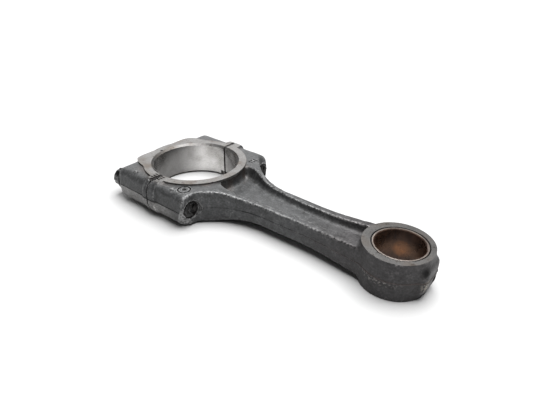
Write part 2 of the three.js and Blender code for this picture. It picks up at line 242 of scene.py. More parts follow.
def draw_out(name, sections):
    """A bar drawn out along X through box sections (x, near y, far y, bottom z, top z)."""
    bpy.ops.object.select_all(action="DESELECT")
    x, near, far, bottom, top = sections[0]
    place = (x, (near + far) / 2, (bottom + top) / 2)
    bpy.ops.mesh.primitive_plane_add(size=1, location=place, rotation=(0, math.pi / 2, 0))
    bar = bpy.context.object
    bar.name = name
    bar.scale = (top - bottom, far - near, 1)
    bpy.ops.object.transform_apply(location=True, rotation=True, scale=True)
    choose(bar, "FACE", lambda face: True)
    for before, after in zip(sections, sections[1:]):
        step = [
            after[0] - before[0],
            (after[1] + after[2] - before[1] - before[2]) / 2,
            (after[3] + after[4] - before[3] - before[4]) / 2,
        ]
        bpy.ops.mesh.extrude_region_move(TRANSFORM_OT_translate={"value": step})
        wider = (after[2] - after[1]) / (before[2] - before[1])
        taller = (after[4] - after[3]) / (before[4] - before[3])
        centre = (after[0], (after[1] + after[2]) / 2, (after[3] + after[4]) / 2)
        bpy.ops.transform.resize(value=(1, wider, taller), center_override=centre)
    bpy.ops.mesh.select_all(action="SELECT")
    bpy.ops.mesh.normals_make_consistent(inside=False)
    return close(bar)


def apply_modifier(piece, kind, **settings):
    """Adds one modifier to a piece and applies it."""
    pick(piece)
    modifier = piece.modifiers.new(kind.lower(), kind)
    for setting, value in settings.items():
        setattr(modifier, setting, value)
    bpy.ops.object.modifier_apply(modifier=modifier.name)
    return piece


def combine(piece, tool, operation):
    """Joins a tool to a piece or cuts it away. What it cuts takes the tool's material."""
    settings = {"solver": "MANIFOLD", "operation": operation, "object": tool, "material_mode": "TRANSFER"}
    apply_modifier(piece, "BOOLEAN", **settings)
    bpy.data.objects.remove(tool)
    return piece


def join(piece, *tools):
    """Joins tools to a piece, one after another."""
    for tool in tools:
        combine(piece, tool, "UNION")
    return piece


def cut(piece, *tools):
    """Cuts tools out of a piece, one after another."""
    for tool in tools:
        combine(piece, tool, "DIFFERENCE")
    return piece


def widen_at_parting_line(piece, share):
    """Splits a piece's sides at half height and moves the line out, so that both halves have draft."""
    slice_level(piece, 0)
    choose(piece, "VERT", lambda vert: abs(vert.co.z) < 1e-6)
    bpy.ops.transform.resize(value=(1, share, 1), center_override=(0, 0, 0))
    return close(piece)


def smooth_along(piece):
    """Turns the straight stretches between a drawn-out bar's sections into one smooth run."""
    choose(piece, "EDGE", lambda edge: True)
    bpy.ops.transform.edge_crease(value=1)
    close(piece)
    return apply_modifier(piece, "SUBSURF", levels=3, render_levels=3)


def round_edges(piece, radius, test, segments=6):
    """Rounds the edges that pass the test."""
    choose(piece, "EDGE", test)
    bpy.ops.mesh.bevel(offset=radius, segments=segments, affect="EDGES", clamp_overlap=False)
    return close(piece)


def runs_along(edge, axis):
    """True if an edge lies along an axis, 0 for X, 1 for Y and 2 for Z."""
    run = edge.verts[1].co - edge.verts[0].co
    return abs(run[axis]) > 0.98 * run.length


def on_end(edge, end_x):
    """True if an edge lies in the outline of a bar's end."""
    return all(abs(vert.co.x - end_x) < 1e-6 for vert in edge.verts)


def on_side(edge, outer):
    """True if an edge runs along the outer side of a boss."""
    return runs_along(edge, 0) and abs(middle_of(edge).y - outer) < 1e-5


def add_boss(name, split_x, end_x, side, end_round):
    """One bolt boss: a block on one side, rounded down to the parting line and round its outer end."""
    outer = side * (BOSS_Y - DRAFT)
    low = (min(split_x, end_x), min(side * BOSS_INNER_Y, outer), -BOSS_TOP)
    high = (max(split_x, end_x), max(side * BOSS_INNER_Y, outer), BOSS_TOP)
    block = add_block(name, low, high)
    round_edges(block, BOSS_ROUND, lambda edge: on_side(edge, outer), 8)
    slice_level(block, 0)
    choose(block, "VERT", lambda vert: abs(vert.co.z) < 1e-6 and abs(vert.co.y - outer) < 1e-5)
    bpy.ops.transform.translate(value=(0, side * DRAFT, 0))
    close(block)
    round_edges(block, end_round, lambda edge: on_end(edge, end_x), 4)
    return block


def add_ear(name, end_x, side, top, rounding):
    """The full-height ear beside the split, with its outer edges rounded."""
    low = (min(0, end_x), min(side * EAR_INNER_Y, side * EAR_Y), -top)
    high = (max(0, end_x), max(side * EAR_INNER_Y, side * EAR_Y), top)
    block = add_block(name, low, high)
    outer = side * EAR_Y
    round_edges(block, rounding, lambda edge: on_side(edge, outer), 8)
    round_edges(block, EAR_END_ROUND, lambda edge: on_end(edge, end_x), 3)
    return block


# The shank is drawn out from the shoulders to the eye, narrow and low at its waist.
SHANK_SECTIONS = [
    # x, half width, half height
    (0.0200, 0.0405, 0.0111),
    (0.0270, 0.0395, 0.0111),
    (0.0305, 0.0345, 0.0111),
    (0.0330, 0.0310, 0.0111),
    (0.0372, 0.0268, 0.0111),
    (0.0410, 0.0236, 0.0109),
    (0.0450, 0.0205, 0.0103),
    (0.0500, 0.0181, 0.0093),
    (0.0560, 0.0159, 0.0082),
    (0.0620, 0.0144, 0.0076),
    (0.0700, 0.0132, 0.0073),
    (0.0850, 0.0128, 0.0073),
    (0.1000, 0.0125, 0.0073),
    (0.1100, 0.0126, 0.0074),
    (0.1200, 0.0131, 0.0078),
    (0.1300, 0.0139, 0.0084),
    (0.1380, 0.0146, 0.0089),
    (0.1460, 0.0150, 0.0092),
]
rod = draw_out("connecting_rod", [(x, -w, w, -h, h) for x, w, h in SHANK_SECTIONS])
widen_at_parting_line(rod, 1.045)
smooth_along(rod)

# The pockets either side of the web are wider on the far side, beside the big end.
POCKET_SECTIONS = [
    # x, near y, far y
    (0.0300, -0.0095, 0.0170),
    (0.0345, -0.0102, 0.0172),
    (0.0385, -0.0118, 0.0168),
    (0.0430, -0.0126, 0.0158),
    (0.0480, -0.0122, 0.0138),
    (0.0540, -0.0112, 0.0117),
    (0.0600, -0.0099, 0.0102),
    (0.0700, -0.0088, 0.0090),
    (0.0850, -0.0073, 0.0073),
    (0.1000, -0.0069, 0.0069),
    (0.1150, -0.0067, 0.0067),
    (0.1260, -0.0075, 0.0075),
    (0.1340, -0.0082, 0.0082),
    (0.1460, -0.0088, 0.0088),
]


def add_pocket(side):
    """One pocket's tool, with sloping walls and a rounded floor."""
    floor = WEB_TOP
    past = 0.015
    wall_slope = 1.18
    bottom, top = sorted((side * floor, side * past))
    tool = draw_out("pocket_tool", [(x, near, far, bottom, top) for x, near, far in POCKET_SECTIONS])
    choose(tool, "VERT", lambda vert: abs(vert.co.z - side * past) < 1e-6)
    bpy.ops.transform.resize(value=(1, wall_slope, 1), center_override=(0, 0, 0))
    close(tool)
    smooth_along(tool)
    flat = lambda edge: abs(middle_of(edge).z - side * floor) < 1e-5
    folded = lambda edge: len(edge.link_faces) == 2 and edge.calc_face_angle() > 0.7
    return round_edges(tool, 0.0022, lambda edge: flat(edge) and folded(edge), 5)


cut(rod, add_pocket(1), add_pocket(-1))

# The bolt bosses, the forged ring about the bore and the eye are joined on.
join(
    rod,
    add_boss("near_boss", -PAST_SPLIT, ROD_BOSS_X, -1, 0.0018),
    add_boss("far_boss", -PAST_SPLIT, ROD_BOSS_X, 1, 0.0045),
    add_drum("ring_forging", RING_FORGING_RADIUS, -BOSS_TOP, BOSS_TOP),
)
eye_x = EYE_BORE_X - EYE_OFFSET
eye = add_drum("eye_forging", EYE_FACE_RADIUS, -EYE_HALF_HEIGHT, EYE_HALF_HEIGHT, (eye_x, 0))
slice_level(eye, 0)
choose(eye, "VERT", lambda vert: abs(vert.co.z) < 1e-6)
bpy.ops.transform.resize(value=(EYE_DRAFT, EYE_DRAFT, 1), center_override=(eye_x, 0, 0))
close(eye)
join(rod, eye)

# The trimmed pad at the tip, which stands out of the eye's end.
TIP_X = rod_high.x - FLASH_PROUD - SPLIT_X
pad = add_block("tip_pad", (TIP_X - 0.012, -0.0105, -0.0082), (TIP_X, 0.0105, 0.0082))
round_edges(pad, 0.0045, lambda edge: runs_along(edge, 2) and middle_of(edge).x > TIP_X - 0.001, 5)
round_edges(pad, 0.0025, lambda edge: not runs_along(edge, 2) and middle_of(edge).x > TIP_X - 0.005, 4)
join(rod, pad)


def add_ball(x, y, z, radius, segments, rings):
    """A ball about a point."""
    bpy.ops.object.select_all(action="DESELECT")
    bpy.ops.mesh.primitive_uv_sphere_add(
        segments=segments,
        ring_count=rings,
        radius=radius,
        location=(x, y, z),
    )
    return bpy.context.object


# A hollow either side of the pad.
cut(rod, add_ball(0.1778, -0.0110, 0.0070, 0.0034, 24, 16))
cut(rod, add_ball(0.1765, 0.0128, 0.0028, 0.0034, 24, 16))


def forge(piece, fillet):
    """Gives a blank a forging's fillets: it is swelled, skinned afresh, shrunk back and smoothed."""
    apply_modifier(piece, "REMESH", mode="VOXEL", voxel_size=FORGED_VOXEL)
    apply_modifier(piece, "DISPLACE", strength=fillet, mid_level=0)
    apply_modifier(piece, "REMESH", mode="VOXEL", voxel_size=FORGED_VOXEL)
    apply_modifier(piece, "DISPLACE", strength=-fillet, mid_level=0)
    apply_modifier(piece, "SMOOTH", factor=0.5, iterations=6)
    return piece


forge(rod, 0.0015)
EAR_TOP = 0.0135
NEAR_EAR_ROUND = 0.0110
FAR_EAR_ROUND = 0.0078
join(
    rod,
    add_ear("near_ear", ROD_EAR_X, -1, EAR_TOP, NEAR_EAR_ROUND),
    add_ear("far_ear", ROD_EAR_X, 1, EAR_TOP, FAR_EAR_ROUND),
)


def skin_again(piece):
    """Skins a joined blank afresh with small fillets, and raises the flash round its parting line."""
    apply_modifier(piece, "REMESH", mode="VOXEL", voxel_size=FORGED_VOXEL)
    apply_modifier(piece, "SMOOTH", factor=0.5, iterations=4)
    for height in (-FLASH_REACH, 0, FLASH_REACH):
        slice_level(piece, height)
        close(piece)
    choose(piece, "VERT", lambda vert: abs(vert.co.z) < 1e-5)
    bpy.ops.transform.shrink_fatten(value=FLASH_PROUD)
    return close(piece)


skin_again(rod)

# The skin of the forging: dark scale that shot has roughened, bright along its edges where they are rubbed
# and where a highlight is painted on them, darker in its concave corners, dark along the flash line and
# touched with rust beside the machined ring. Low on the near side of the big end it is painted lighter, as
# painted light from the table.
BLACK = (0, 0, 0)
WHITE = (1, 1, 1)


def add_node(finish, kind, inputs, **settings):
    """A node of a finish, with its inputs set to values or linked to other nodes' outputs."""
    node = finish.node_tree.nodes.new("ShaderNode" + kind)
    for setting, value in settings.items():
        setattr(node, setting, value)
    for name, value in inputs.items():
        if isinstance(value, bpy.types.NodeSocket):
            finish.node_tree.links.new(value, node.inputs[name])
        else:
            node.inputs[name].default_value = value
    return node


def start_finish(name, metallic):
    """A new finish, its shader and the coordinates of the piece that it is on."""
    finish = bpy.data.materials.new(name)
    finish.use_nodes = True
    shader = finish.node_tree.nodes["Principled BSDF"]
    shader.inputs["Metallic"].default_value = metallic
    return finish, shader, add_node(finish, "TexCoord", {}).outputs["Object"]


def add_noise(finish, place, scale, detail=3.0):
    """Cloudy noise with so many wrinkles a metre."""
    noise = add_node(finish, "TexNoise", {"Vector": place, "Scale": scale, "Detail": detail})
    return noise.outputs["Fac"]


def add_ramp(finish, value, *stops):
    """A smooth run of colours through (value, colour) stops."""
    ramp = add_node(finish, "ValToRGB", {"Fac": value})
    elements = ramp.color_ramp.elements
    while len(elements) < len(stops):
        elements.new(0.5)
    for element, (at, colour) in zip(elements, stops):
        element.position = at
        element.color = (*colour, 1)
    return ramp.outputs["Color"]


def work_out(finish, operation, *values):
    """The result of one sum on values or on other nodes' outputs."""
    return add_node(finish, "Math", dict(enumerate(values)), operation=operation).outputs[0]


def mix_in(finish, amount, first, second, blend="MIX"):
    """One colour mixed into another."""
    mix = add_node(finish, "MixRGB", {"Fac": amount, "Color1": first, "Color2": second}, blend_type=blend)
    return mix.outputs["Color"]


def dim(finish, first, second):
    """One colour multiplied by another, which darkens it where the other is darker than white."""
    return mix_in(finish, 1.0, first, second, "MULTIPLY")


def one_axis(finish, place, axis):
    """How far each point lies along one axis of the frame, in metres."""
    return add_node(finish, "SeparateXYZ", {"Vector": place}).outputs[axis]


def far_from_axis(finish, place, axis_x):
    """The distance of each point from a bore's axis, in metres."""
    flat = add_node(finish, "Mapping", {"Vector": place, "Location": (-axis_x, 0, 0), "Scale": (1, 1, 0)})
    return add_node(finish, "VectorMath", {"Vector": flat.outputs[0]}, operation="LENGTH").outputs["Value"]


def height_over_parting(finish, place):
    """The height of each point over the parting plane, in metres, negative below it."""
    height = one_axis(finish, place, "Z")
    return work_out(finish, "SUBTRACT", height, MID_Z)


def away_from_parting(finish, place):
    """The distance of each point from the parting plane, above or below it."""
    return work_out(finish, "ABSOLUTE", height_over_parting(finish, place))


def between(finish, value, low, high):
    """A value's place between two limits, from 0 to 1."""
    spread = add_node(finish, "MapRange", {"Value": value, "From Min": low, "From Max": high})
    return spread.outputs["Result"]


def fade(finish, value, low, high, first=WHITE, last=BLACK):
    """One colour below a low limit of a value, and another over a high one."""
    return add_ramp(finish, between(finish, value, low, high), (0.0, first), (1.0, last))


def from_split(finish, place):
    """The distance of each point from the split, on either side of it."""
    gap = work_out(finish, "SUBTRACT", one_axis(finish, place, "X"), SPLIT_X)
    return work_out(finish, "ABSOLUTE", gap)


def close_to(finish, place, point, solid, faded):
    """White at a point of the piece, fading to black between two distances from it."""
    gap = add_node(finish, "VectorMath", {0: place, 1: point}, operation="DISTANCE").outputs["Value"]
    return fade(finish, gap, solid, faded)


def roughen(finish, shader, height, depth, strength):
    """Raises the finish's surface by a pattern, to a depth in metres."""
    bump = add_node(finish, "Bump", {"Height": height, "Distance": depth, "Strength": strength})
    finish.node_tree.links.new(bump.outputs[0], shader.inputs["Normal"])


def colour_by(finish, shader, colour):
    """Gives a finish its colour."""
    finish.node_tree.links.new(colour, shader.inputs["Base Color"])


def set_by_ramp(finish, shader, setting, value, *stops):
    """Sets the colour or the roughness of a finish by a smooth run of colours."""
    finish.node_tree.links.new(add_ramp(finish, value, *stops), shader.inputs[setting])


def grey(level, warmth=0.0):
    """A grey, a little warm if asked."""
    return (level * (1 + warmth), level, level * (1 - warmth))


def blacken_at_split(finish, place, colour, waver):
    """Oil and dirt in the split: a thin dark line that wanders a little."""
    edge = work_out(finish, "MULTIPLY_ADD", waver, -0.0012, from_split(finish, place))
    dirty = add_ramp(finish, between(finish, edge, -0.0006, 0.0006), (0.45, grey(0.97)), (0.8, BLACK))
    return mix_in(finish, dirty, colour, (*grey(0.012), 1))


SCALE_DARK = grey(0.05)
SCALE_LIGHT = (0.098, 0.1, 0.102)
WORN_EDGE_AND_HIGHLIGHT = grey(0.36)
RUST = (0.11, 0.06, 0.035)

forged_skin, shader, place = start_finish("shot_blasted_forging", 0.5)
shader.inputs["Specular IOR Level"].default_value = 0.35
speckle = add_noise(forged_skin, place, 850)
mottle = add_noise(forged_skin, place, 240, 5)
cloud = add_noise(forged_skin, place, 45)
blend = mix_in(forged_skin, 0.5, mottle, speckle)
colour = add_ramp(forged_skin, blend, (0.36, SCALE_DARK), (0.56, SCALE_LIGHT), (0.74, grey(0.2)))
cloudy = add_ramp(forged_skin, cloud, (0.35, grey(0.6)), (0.65, WHITE))
colour = mix_in(forged_skin, 0.5, colour, cloudy, "MULTIPLY")
edges = add_node(forged_skin, "NewGeometry", {}).outputs["Pointiness"]
# Convex edges are lighter: partly wear that has rubbed them bright, partly a painted highlight along them.
rubbed = add_ramp(forged_skin, edges, (0.509, BLACK), (0.545, WHITE))
rubbed = dim(forged_skin, rubbed, add_ramp(forged_skin, speckle, (0.42, BLACK), (0.58, WHITE)))
colour = mix_in(forged_skin, rubbed, colour, (*WORN_EDGE_AND_HIGHLIGHT, 1))
# Concave corners are darkened.
concave_darkening = add_ramp(forged_skin, edges, (0.40, grey(0.8)), (0.475, BLACK))
colour = mix_in(forged_skin, concave_darkening, colour, (*grey(0.02), 1))
bore_distance = far_from_axis(forged_skin, place, SPLIT_X)
beside_ring = between(forged_skin, bore_distance, 0.036, 0.042)
ring_rust = add_ramp(forged_skin, beside_ring, (0.0, WHITE), (0.9, BLACK))
rust_patch = add_ramp(forged_skin, add_noise(forged_skin, place, 110, 4), (0.42, BLACK), (0.66, grey(0.3)))
colour = mix_in(forged_skin, dim(forged_skin, ring_rust, rust_patch), colour, (*RUST, 1))
along = one_axis(forged_skin, place, "X")
# Painted light: below the parting line near the big end, on the near side, the skin is brightened as if lit
# from the white table below.
below = fade(forged_skin, height_over_parting(forged_skin, place), -0.0004, 0.0004)
big_end = fade(forged_skin, along, SPLIT_X + 0.012, SPLIT_X + 0.03, grey(0.85), BLACK)
across = one_axis(forged_skin, place, "Y")
near_side = fade(forged_skin, across, -0.03, 0.0, WHITE, grey(0.25))
painted_table_light = dim(forged_skin, below, big_end)
painted_table_light = dim(forged_skin, painted_table_light, near_side)
colour = mix_in(forged_skin, painted_table_light, colour, dim(forged_skin, colour, (3.2, 3.1, 3.0, 1)))
flash_height = away_from_parting(forged_skin, place)
waver = work_out(forged_skin, "MULTIPLY_ADD", cloud, 0.0016, -0.0005)
flash_height = work_out(forged_skin, "ADD", flash_height, waver)
beside_flash = between(forged_skin, flash_height, 0, 0.0012)
flash_line = add_ramp(forged_skin, beside_flash, (0.3, grey(0.9)), (0.8, BLACK))
towards_eye = between(forged_skin, along, SPLIT_X + 0.09, SPLIT_X + 0.13)
flash_colour = add_ramp(forged_skin, towards_eye, (0.0, grey(0.015)), (1.0, (0.115, 0.1, 0.092)))
colour = mix_in(forged_skin, flash_line, colour, flash_colour)
oily = add_ramp(forged_skin, towards_eye, (0.0, WHITE), (1.0, (0.7, 0.66, 0.66)))
colour = dim(forged_skin, colour, oily)

# The flash is trimmed roughly round the eye, which leaves a torn strip under the line.
below_line = between(forged_skin, height_over_parting(forged_skin, place), -0.0042, -0.0004)
strip = add_ramp(forged_skin, below_line, (0.0, BLACK), (0.5, WHITE), (0.97, WHITE), (1.0, BLACK))
round_eye = between(forged_skin, along, SPLIT_X + 0.142, SPLIT_X + 0.170)
torn = add_ramp(forged_skin, speckle, (0.55, BLACK), (0.63, grey(0.7)))
torn = dim(forged_skin, torn, strip)
torn_part = add_ramp(forged_skin, round_eye, (0.0, BLACK), (0.3, WHITE), (0.6, WHITE), (1.0, BLACK))
torn = dim(forged_skin, torn, torn_part)
colour = mix_in(forged_skin, torn, colour, (0.27, 0.25, 0.235, 1))

# The hollow beside the tip pad is painted dark as painted shade, and the pad's near corner is scuffed pale.
TIP_HOLLOW = (SPLIT_X + 0.1776, -0.0084, MID_Z + 0.0066)
TIP_SCUFF = (SPLIT_X + 0.1786, -0.0070, MID_Z - 0.0022)
painted_hollow_shade = close_to(forged_skin, place, TIP_HOLLOW, 0.0012, 0.0042)
colour = mix_in(forged_skin, painted_hollow_shade, colour, (*grey(0.012), 1))
scuff = close_to(forged_skin, place, TIP_SCUFF, 0.0010, 0.0042)
scuff = dim(forged_skin, scuff, add_ramp(forged_skin, speckle, (0.45, BLACK), (0.6, grey(0.9))))
colour = mix_in(forged_skin, scuff, colour, (0.36, 0.33, 0.28, 1))
colour_by(forged_skin, shader, blacken_at_split(forged_skin, place, colour, mottle))
set_by_ramp(forged_skin, shader, "Roughness", mottle, (0.3, grey(0.42)), (0.7, grey(0.58)))
roughen(forged_skin, shader, blend, 0.0004, 0.7)


def finish_with(piece, finish):
    """Gives a piece or a cutting tool one finish; a tool leaves its finish on what it cuts."""
    piece.data.materials.clear()
    piece.data.materials.append(finish)
    return piece


finish_with(rod, forged_skin)

# The faces that are milled, bored or spot-faced are bright, with fine tool marks and thin brown stains.
machined_steel, shader, place = start_finish("machined_steel", 0.9)
grain = add_noise(machined_steel, place, 900)
stains = add_noise(machined_steel, place, 90, 5)
colour = add_ramp(machined_steel, grain, (0.3, grey(0.15, 0.02)), (0.7, grey(0.22, 0.03)))
stained = add_ramp(machined_steel, stains, (0.47, BLACK), (0.7, grey(0.6)))
colour = mix_in(machined_steel, stained, colour, (0.12, 0.09, 0.065, 1))
spots = add_noise(machined_steel, place, 420, 2)
freckles = add_ramp(machined_steel, spots, (0.62, BLACK), (0.7, grey(0.6)))
colour = mix_in(machined_steel, freckles, colour, (0.045, 0.03, 0.022, 1))
eye_wear = between(machined_steel, one_axis(machined_steel, place, "X"), 0.04, 0.07)
eye_wear = add_ramp(machined_steel, eye_wear, (0.0, WHITE), (1.0, grey(0.66)))
colour = dim(machined_steel, colour, eye_wear)
from_eye_bore = far_from_axis(machined_steel, place, SPLIT_X + EYE_BORE_X)
# Painted shade: the eye's chamfer round the bush is painted near-black, as the shadow in the gap.
painted_bush_gap_shade = fade(machined_steel, from_eye_bore, 0.0158, 0.0162)
colour = mix_in(machined_steel, painted_bush_gap_shade, colour, (0.012, 0.01, 0.009, 1))
smudge = close_to(machined_steel, place, (SPLIT_X, -0.0352, HALF_THICK * 2), 0.002, 0.0075)
smudge = dim(machined_steel, smudge, add_ramp(machined_steel, grain, (0.4, grey(0.25)), (0.6, grey(0.9))))
colour = mix_in(machined_steel, smudge, colour, (0.03, 0.024, 0.02, 1))
colour_by(machined_steel, shader, blacken_at_split(machined_steel, place, colour, stains))
set_by_ramp(machined_steel, shader, "Roughness", stains, (0.3, grey(0.4)), (0.7, grey(0.55)))
turning = far_from_axis(machined_steel, place, SPLIT_X)
marks = work_out(machined_steel, "MULTIPLY", turning, 9000.0)
marks = work_out(machined_steel, "SINE", marks)
roughen(machined_steel, shader, marks, 0.00002, 0.35)

# The ground corner is coarse and bare, and what is stamped, chipped or notched holds black dirt.
ground_steel, shader, place = start_finish("ground_steel", 0.5)
grit = add_noise(ground_steel, place, 900, 4)
set_by_ramp(ground_steel, shader, "Base Color", grit, (0.35, grey(0.09)), (0.7, grey(0.42)))
set_by_ramp(ground_steel, shader, "Roughness", grit, (0.3, grey(0.5)), (0.7, grey(0.65)))
roughen(ground_steel, shader, grit, 0.0005, 0.9)

# This near-black finish is real dirt in the stamps, chips and notches, and painted shadow in the dish round
# each pip.
dirt_and_painted_shade, shader, place = start_finish("dirt_and_painted_shade", 0.1)
crumbs = add_noise(dirt_and_painted_shade, place, 1500)
set_by_ramp(dirt_and_painted_shade, shader, "Base Color", crumbs, (0.3, grey(0.006)), (0.7, (0.026, 0.022, 0.02)))
set_by_ramp(dirt_and_painted_shade, shader, "Roughness", crumbs, (0.3, grey(0.6)), (0.7, grey(0.85)))
roughen(dirt_and_painted_shade, shader, crumbs, 0.0003, 0.8)

# The bores are honed finer than the faces, and are brighter.
honed_bore, shader, place = start_finish("honed_bore", 0.95)
hone_map = add_node(honed_bore, "Mapping", {"Vector": place, "Scale": (1, 1, 4)}).outputs[0]
hone_marks = add_noise(honed_bore, hone_map, 600, 4)
bearing_shadow = add_noise(honed_bore, place, 60, 4)
colour = add_ramp(honed_bore, hone_marks, (0.3, grey(0.54, 0.02)), (0.7, grey(0.68, 0.02)))
stained = add_ramp(honed_bore, bearing_shadow, (0.48, BLACK), (0.72, grey(0.6)))
colour = mix_in(honed_bore, stained, colour, (0.2, 0.19, 0.17, 1))
# Painted shade: the bore is painted darker towards its ends, and darker on the rod's side of the split, in
# place of a reflection that darkens there.
painted_bore_end_shade = fade(honed_bore, from_split(honed_bore, place), 0.018, 0.0285, WHITE, grey(0.3))
colour = dim(honed_bore, colour, painted_bore_end_shade)
rod_side_painted_shade = between(honed_bore, one_axis(honed_bore, place, "X"), SPLIT_X, SPLIT_X + 0.008)
rod_side_painted_shade = add_ramp(honed_bore, rod_side_painted_shade, (0.0, WHITE), (0.05, grey(0.62)), (1.0, grey(0.5)))
colour = dim(honed_bore, colour, rod_side_painted_shade)
colour_by(honed_bore, shader, blacken_at_split(honed_bore, place, colour, bearing_shadow))
set_by_ramp(honed_bore, shader, "Roughness", bearing_shadow, (0.3, grey(0.16)), (0.7, grey(0.28)))
roughen(honed_bore, shader, hone_marks, 0.00003, 0.4)

# The split faces are bare metal, grainy where the rod was cracked off its cap.
fractured_steel, shader, place = start_finish("fractured_steel", 0.85)
crystals = add_node(fractured_steel, "TexVoronoi", {"Vector": place, "Scale": 1600.0}).outputs["Distance"]
set_by_ramp(fractured_steel, shader, "Base Color", crystals, (0.0, grey(0.2)), (0.8, grey(0.5)))
set_by_ramp(fractured_steel, shader, "Roughness", crystals, (0.0, grey(0.75)), (0.8, grey(0.5)))
roughen(fractured_steel, shader, crystals, 0.0004, 0.9)


def mill_faces(piece):
    """Mills both thrust faces flat."""
    reach = 0.25
    for side in (1, -1):
        low, high = sorted((side * HALF_THICK, side * 0.02))
        mill = add_block("face_mill", (-reach, -reach, low), (reach, reach, high))
        cut(piece, finish_with(mill, machined_steel))
    return piece


def add_bore_tool(radius, chamfer, centre_x):
    """A boring tool that also chamfers both mouths."""
    past = 0.002
    tool = add_drum("boring_tool", radius, -HALF_THICK - past, HALF_THICK + past, (centre_x, 0), 160)
    for side in (1, -1):
        slice_level(tool, side * (HALF_THICK - chamfer))
        choose(tool, "VERT", lambda vert: vert.co.z * side > HALF_THICK)
        flare = (radius + chamfer + past) / radius
        bpy.ops.transform.resize(value=(flare, flare, 1), center_override=(centre_x, 0, 0))
        close(tool)
    finish_with(tool, honed_bore)
    tool.data.materials.append(machined_steel)
    choose(tool, "FACE", lambda face: 0.3 < abs(face.normal.z) < 0.9)
    tool.active_material_index = 1
    bpy.ops.object.material_slot_assign()
    return close(tool)


def add_bar(name, radius, from_x, to_x, y=0, sides=64):
    """A round bar along X."""
    bpy.ops.object.select_all(action="DESELECT")
    bpy.ops.mesh.primitive_cylinder_add(
        vertices=sides,
        radius=radius,
        depth=abs(to_x - from_x),
        location=((from_x + to_x) / 2, y, 0),
        rotation=(0, math.pi / 2, 0),
    )
    bpy.ops.object.transform_apply(location=True, rotation=True, scale=True)
    bpy.context.object.name = name
    return bpy.context.object


def drill_for_bolts(piece, hole_radius, spot_radius, from_x, seat_x):
    """Drills both bolt holes from the split and spot-faces the bosses round their outer ends."""
    outward = math.copysign(0.012, seat_x)
    for y in (-BOLT_Y, BOLT_Y):
        cut(
            piece,
            finish_with(add_bar("spot_facer", spot_radius, seat_x, seat_x + outward, y), ground_steel),
            finish_with(add_bar("drill", hole_radius, from_x, seat_x + outward / 6, y), machined_steel),
        )
    return piece


CRUMBLED_EDGE = 0.00026


def break_apart(piece, side):
    """Cuts a piece off at the split plane, with the edge of the break a little crumbled."""
    plane = side * SPLIT_GAP / 2
    low, high = sorted((plane, -side * 0.08))
    cut(piece, finish_with(add_block("split", (low, -0.08, -0.02), (high, 0.08, 0.02)), fractured_steel))
    choose(piece, "FACE", lambda face: True)
    bpy.ops.mesh.bisect(plane_co=(plane + side * CRUMBLED_EDGE, 0, 0), plane_no=(1, 0, 0))
    close(piece)
    at_split = lambda vert: abs(vert.co.x - plane) < 1e-6
    on_rim = lambda vert: any(abs(face.normal.x) < 0.8 for face in vert.link_faces)
    choose(piece, "VERT", lambda vert: at_split(vert) and on_rim(vert))
    bpy.ops.transform.shrink_fatten(value=-CRUMBLED_EDGE)
    return close(piece)


# The turned land of the ring stands proud of the bosses, and is milled and bored with the rest.
mill_faces(rod)
LAND_ROOT = BOSS_TOP - 0.0006
for side in (1, -1):
    low, high = sorted((side * LAND_ROOT, side * HALF_THICK))
    join(rod, finish_with(add_drum("ring_land", RING_RADIUS, low, high, sides=160), machined_steel))


def add_scoop(x, y, z, radius):
    """A ball tool that leaves a chip or a dimple."""
    ball = add_ball(x, y, z, radius, 16, 10)
    bpy.ops.object.transform_apply(location=True, rotation=True, scale=True)
    return finish_with(ball, dirt_and_painted_shade)


# The near boss's lower outer corner is ground off to balance the rod.
GRIND_SIZE = 0.03
GRIND_POINT = Vector((0.0312, -0.0420, -0.0010))
GRIND_OUT = Vector((0.70, -0.62, -0.35)).normalized()
bpy.ops.object.select_all(action="DESELECT")
grind_place = GRIND_POINT + GRIND_OUT * GRIND_SIZE / 2
grind_turn = GRIND_OUT.to_track_quat("Z", "Y").to_euler()
bpy.ops.mesh.primitive_cube_add(size=GRIND_SIZE, location=grind_place, rotation=grind_turn)
bpy.ops.object.transform_apply(location=True, rotation=True, scale=True)
grinder = bpy.context.object
cut(rod, finish_with(grinder, ground_steel))

# A dent in the trimmed pad at the tip.
cut(rod, add_scoop(0.1795, 0.0030, -0.0040, 0.0027))

BUSH_BORE_FIT = 0.01562
cut(rod, add_bore_tool(BORE_RADIUS, BORE_CHAMFER, 0), add_bore_tool(BUSH_BORE_FIT, 0.0005, EYE_BORE_X))
drill_for_bolts(rod, THREAD_HOLE_RADIUS, THREAD_SPOT_RADIUS, -0.01, ROD_BOSS_X - THREAD_SEAT_DEPTH)

# Where the threads come out, the metal has broken away round the holes, and the break is finished
# near-black.
BREAKOUT_RADIUS = 0.0062
BREAKOUT_SIDES = 40
BREAKOUT_FLOOR_X = ROD_BOSS_X - SEAT_DEPTH
for y in (-BOLT_Y, BOLT_Y):
    breakout = add_bar("breakout", BREAKOUT_RADIUS, BREAKOUT_FLOOR_X, ROD_BOSS_X + 0.01, y, BREAKOUT_SIDES)
    turn = lambda vert: math.atan2(vert.co.z, vert.co.y - y) * BREAKOUT_SIDES / math.tau
    choose(breakout, "VERT", lambda vert: round(turn(vert)) % 3 == 0)
    bpy.ops.transform.resize(value=(1, 0.95, 0.95), center_override=(0, y, 0))
    cut(rod, finish_with(close(breakout), dirt_and_painted_shade))

